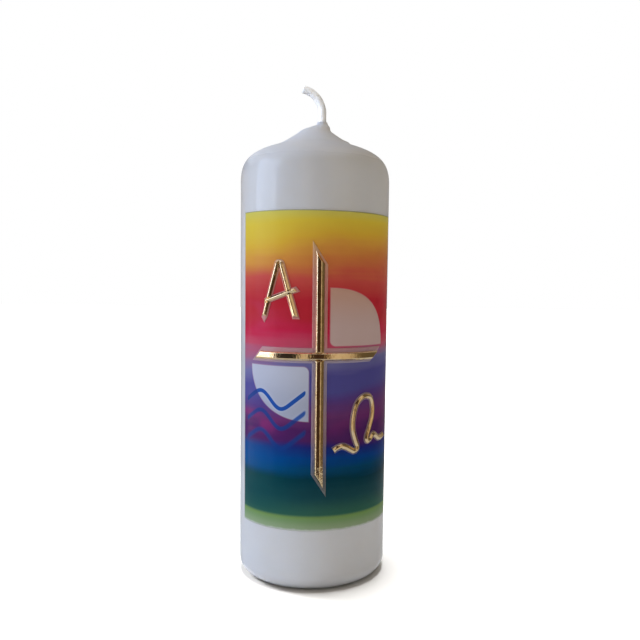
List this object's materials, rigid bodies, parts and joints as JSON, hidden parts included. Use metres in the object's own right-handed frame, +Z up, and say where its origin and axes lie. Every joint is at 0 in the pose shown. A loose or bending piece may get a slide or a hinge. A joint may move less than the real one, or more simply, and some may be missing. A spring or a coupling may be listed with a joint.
{
  "type": "easter candle",
  "caption": "White pillar candle with a rounded shoulder and bent wick, a rainbow printed film round its front, and a raised gold cross, alpha and omega.",
  "frame": {"origin": "centre of the flat base, on the candle's axis", "axes": "+Z up along the candle towards the wick; the cross faces -Y, and the wick bends towards -X"},
  "size_m": [0.07, 0.0718, 0.2304],
  "materials": {
    "core_wax": "pressed white wax, matt",
    "white_wax": "smooth dipped white wax, satin",
    "wick_cotton": "braided cotton, waxed",
    "film_print": "printed film in rainbow bands, satin",
    "pale_wax": "pale translucent wax, satin",
    "gold_foil": "bright gold foil, lightly hammered"
  },
  "bodies": {
    "root": {"candle_core": "core_wax", "wax_coat": "white_wax", "wick": "wick_cotton", "printed_film": "film_print", "cross_backing": "pale_wax", "cross_upright": "gold_foil", "cross_bar": "gold_foil", "alpha_backing": "pale_wax", "alpha_left_leg": "gold_foil", "alpha_right_leg": "gold_foil", "alpha_bar": "gold_foil", "omega_backing": "pale_wax", "omega_strip": "gold_foil"}
  },
  "joints": []
}
